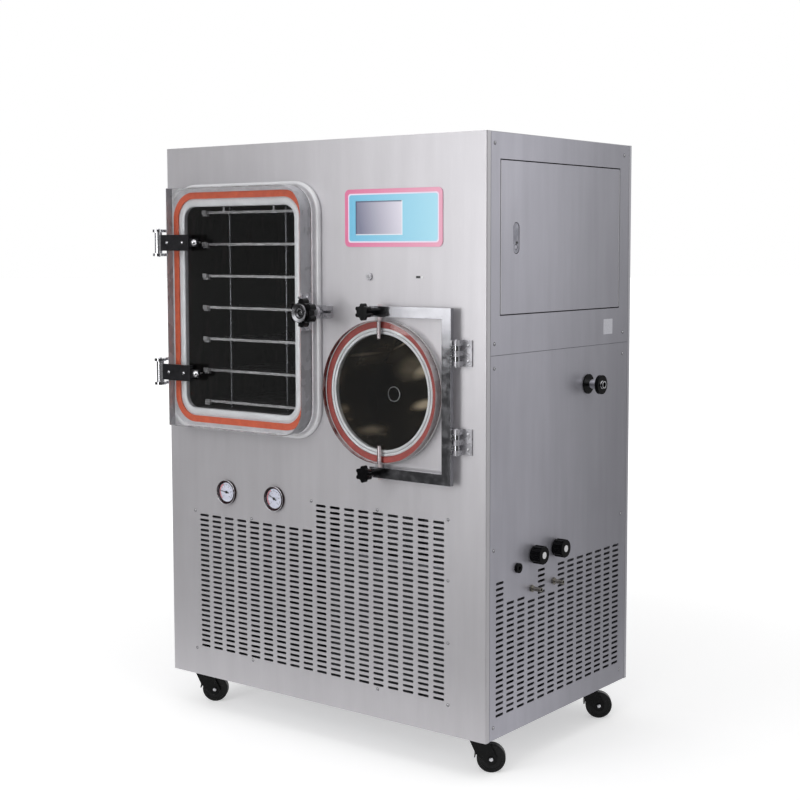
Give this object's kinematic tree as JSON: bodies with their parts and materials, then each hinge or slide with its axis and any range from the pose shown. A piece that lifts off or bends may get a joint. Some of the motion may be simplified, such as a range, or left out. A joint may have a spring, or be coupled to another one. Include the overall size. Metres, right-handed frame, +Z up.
{
  "type": "pilot freeze dryer",
  "caption": "Floor-standing freeze dryer: shelf chamber with a thick clear hinged door, round cold trap door, control panel, gauges and vents in a steel cabinet on swivel casters",
  "frame": {"origin": "on the floor, under the middle of the machine's overall footprint, the knobs and the vacuum port included", "axes": "+Z up, +X to the right along the front as seen by the user, +Y from the front to the back; the doors face -Y"},
  "size_m": [1.1736, 0.839, 1.63],
  "materials": {
    "satin_stainless": "satin brushed",
    "galvanised_steel": "dull grey",
    "polished_stainless": "bright polished stainless",
    "chrome_fittings": "bright",
    "silicone": "matt orange-red",
    "clear_acrylic": "clear polished acrylic",
    "black_hinge": "satin black",
    "black_knobs": "gloss black",
    "black_machine_paint": "semi-gloss black",
    "fan_plastic": "matt black",
    "control_overlay": "gloss light blue with a pink border",
    "touch_screen": "grey display",
    "gauge_black": "gloss black",
    "nickel_fittings": "nickel-plated, slightly dull",
    "caster_black": "gloss black",
    "caster_tread": "black, slightly glossy"
  },
  "bodies": {
    "cabinet": {"front_panel": "satin_stainless", "cover_plates": "satin_stainless", "left_panel": "satin_stainless", "right_upper_panel": "satin_stainless", "right_lower_panel": "satin_stainless", "rear_panel": "satin_stainless", "chassis": "galvanised_steel", "panel_screws": "chrome_fittings", "drying_chamber": "polished_stainless", "chamber_gasket": "silicone", "hinge_brackets": "chrome_fittings", "hinge_pins": "chrome_fittings", "clamp_keeper": "chrome_fittings", "shelves": "polished_stainless", "shelf_posts": "polished_stainless", "trap_drum": "polished_stainless", "trap_gasket": "silicone", "trap_hinge_leaves": "chrome_fittings", "vapour_duct": "polished_stainless", "condenser": "galvanised_steel", "fan_motor": "black_machine_paint", "compressor": "black_machine_paint", "hmi_bezel": "control_overlay", "lcd_screen": "touch_screen", "key_lock": "chrome_fittings", "gauge_cases": "gauge_black", "access_hinges": "chrome_fittings", "vacuum_port": "chrome_fittings", "port_rings": "black_knobs", "valve_bodies": "nickel_fittings", "cable_gland": "black_knobs", "caster_mounts": "chrome_fittings"},
    "chamber_door": {"drying_door": "clear_acrylic", "hinge_arms": "black_hinge", "arm_bolts": "chrome_fittings", "clamp_bracket": "chrome_fittings"},
    "door_clamp": {"clamp_screw": "chrome_fittings", "clamp_knob": "black_knobs"},
    "trap_door": {"trap_disc": "clear_acrylic", "trap_frame": "polished_stainless", "trap_pivots": "chrome_fittings", "trap_hinge_straps": "chrome_fittings"},
    "trap_clamp_upper": {"trap_knob_upper": "black_knobs"},
    "trap_clamp_lower": {"trap_knob_lower": "black_knobs"},
    "access_door": {"access_door": "satin_stainless"},
    "access_latch": {"access_latch": "chrome_fittings"},
    "drain_valve_front": {"valve_knob_front": "black_knobs"},
    "drain_valve_rear": {"valve_knob_rear": "black_knobs"},
    "key_barrel": {"key_barrel": "chrome_fittings"},
    "gauge_left_needle": {"needle_left": "gauge_black"},
    "gauge_right_needle": {"needle_right": "gauge_black"},
    "fan": {"fan_blades": "fan_plastic"},
    "caster_fork_fl": {"caster_fork_fl": "caster_black"},
    "caster_wheel_fl": {"caster_wheel_fl": "caster_tread"},
    "caster_fork_fr": {"caster_fork_fr": "caster_black"},
    "caster_wheel_fr": {"caster_wheel_fr": "caster_tread"},
    "caster_fork_rl": {"caster_fork_rl": "caster_black"},
    "caster_wheel_rl": {"caster_wheel_rl": "caster_tread"},
    "caster_fork_rr": {"caster_fork_rr": "caster_black"},
    "caster_wheel_rr": {"caster_wheel_rr": "caster_tread"}
  },
  "joints": [
    {"name": "chamber_door_hinge", "type": "hinge", "parent": "cabinet", "child": "chamber_door", "pos_m": [-0.5552, -0.37215, 1.176], "axis": [0, 0, -1], "range_deg": [0, 120]},
    {"name": "door_clamp_turn", "type": "hinge", "parent": "chamber_door", "child": "door_clamp", "pos_m": [0.0208, -0.39145, 1.176], "axis": [0, -1, 0], "range_deg": [0, 1080]},
    {"name": "trap_door_hinge", "type": "hinge", "parent": "cabinet", "child": "trap_door", "pos_m": [0.4608, -0.33015, 0.973], "axis": [0, 0, 1], "range_deg": [0, 115]},
    {"name": "trap_clamp_upper_turn", "type": "hinge", "parent": "trap_door", "child": "trap_clamp_upper", "pos_m": [0.1998, -0.36715, 1.182], "axis": [0, -1, 0], "range_deg": [0, 1080]},
    {"name": "trap_clamp_lower_turn", "type": "hinge", "parent": "trap_door", "child": "trap_clamp_lower", "pos_m": [0.1998, -0.36715, 0.764], "axis": [0, -1, 0], "range_deg": [0, 1080]},
    {"name": "access_door_hinge", "type": "hinge", "parent": "cabinet", "child": "access_door", "pos_m": [0.5278, 0.34235, 1.37], "axis": [0, 0, 1], "range_deg": [0, 95]},
    {"name": "access_latch_pull", "type": "hinge", "parent": "access_door", "child": "access_latch", "pos_m": [0.5308, -0.17715, 1.4025], "axis": [0, -1, 0], "range_deg": [0, 40]},
    {"name": "drain_valve_front_turn", "type": "hinge", "parent": "cabinet", "child": "drain_valve_front", "pos_m": [0.5528, -0.08815, 0.549], "axis": [1, 0, 0], "range_deg": [0, 1080]},
    {"name": "drain_valve_rear_turn", "type": "hinge", "parent": "cabinet", "child": "drain_valve_rear", "pos_m": [0.5528, 0.01985, 0.549], "axis": [1, 0, 0], "range_deg": [0, 1080]},
    {"name": "key_turn", "type": "hinge", "parent": "cabinet", "child": "key_barrel", "pos_m": [0.1658, -0.30715, 1.271], "axis": [0, 1, 0], "range_deg": [0, 90]},
    {"name": "gauge_left_needle_turn", "type": "hinge", "parent": "cabinet", "child": "gauge_left_needle", "pos_m": [-0.3562, -0.31195, 0.652], "axis": [0, 1, 0], "range_deg": [-53, 217]},
    {"name": "gauge_right_needle_turn", "type": "hinge", "parent": "cabinet", "child": "gauge_right_needle", "pos_m": [-0.1732, -0.31195, 0.652], "axis": [0, 1, 0], "range_deg": [-71, 199]},
    {"name": "fan_spin", "type": "hinge", "parent": "cabinet", "child": "fan", "pos_m": [0.1907, -0.15915, 0.312], "axis": [0, 1, 0], "continuous": true},
    {"name": "caster_swivel_fl", "type": "hinge", "parent": "cabinet", "child": "caster_fork_fl", "pos_m": [-0.5202, -0.24715, 0.092], "axis": [0, 0, 1], "continuous": true},
    {"name": "caster_roll_fl", "type": "hinge", "parent": "caster_fork_fl", "child": "caster_wheel_fl", "pos_m": [-0.49201, -0.22814, 0.0375], "axis": [-0.5592, 0.829, 0], "continuous": true},
    {"name": "caster_swivel_fr", "type": "hinge", "parent": "cabinet", "child": "caster_fork_fr", "pos_m": [0.4698, -0.24715, 0.092], "axis": [0, 0, 1], "continuous": true},
    {"name": "caster_roll_fr", "type": "hinge", "parent": "caster_fork_fr", "child": "caster_wheel_fr", "pos_m": [0.49799, -0.22814, 0.0375], "axis": [-0.5592, 0.829, 0], "continuous": true},
    {"name": "caster_swivel_rl", "type": "hinge", "parent": "cabinet", "child": "caster_fork_rl", "pos_m": [-0.5202, 0.30285, 0.092], "axis": [0, 0, 1], "continuous": true},
    {"name": "caster_roll_rl", "type": "hinge", "parent": "caster_fork_rl", "child": "caster_wheel_rl", "pos_m": [-0.49201, 0.32186, 0.0375], "axis": [-0.5592, 0.829, 0], "continuous": true},
    {"name": "caster_swivel_rr", "type": "hinge", "parent": "cabinet", "child": "caster_fork_rr", "pos_m": [0.4698, 0.30285, 0.092], "axis": [0, 0, 1], "continuous": true},
    {"name": "caster_roll_rr", "type": "hinge", "parent": "caster_fork_rr", "child": "caster_wheel_rr", "pos_m": [0.49799, 0.32186, 0.0375], "axis": [-0.5592, 0.829, 0], "continuous": true}
  ]
}
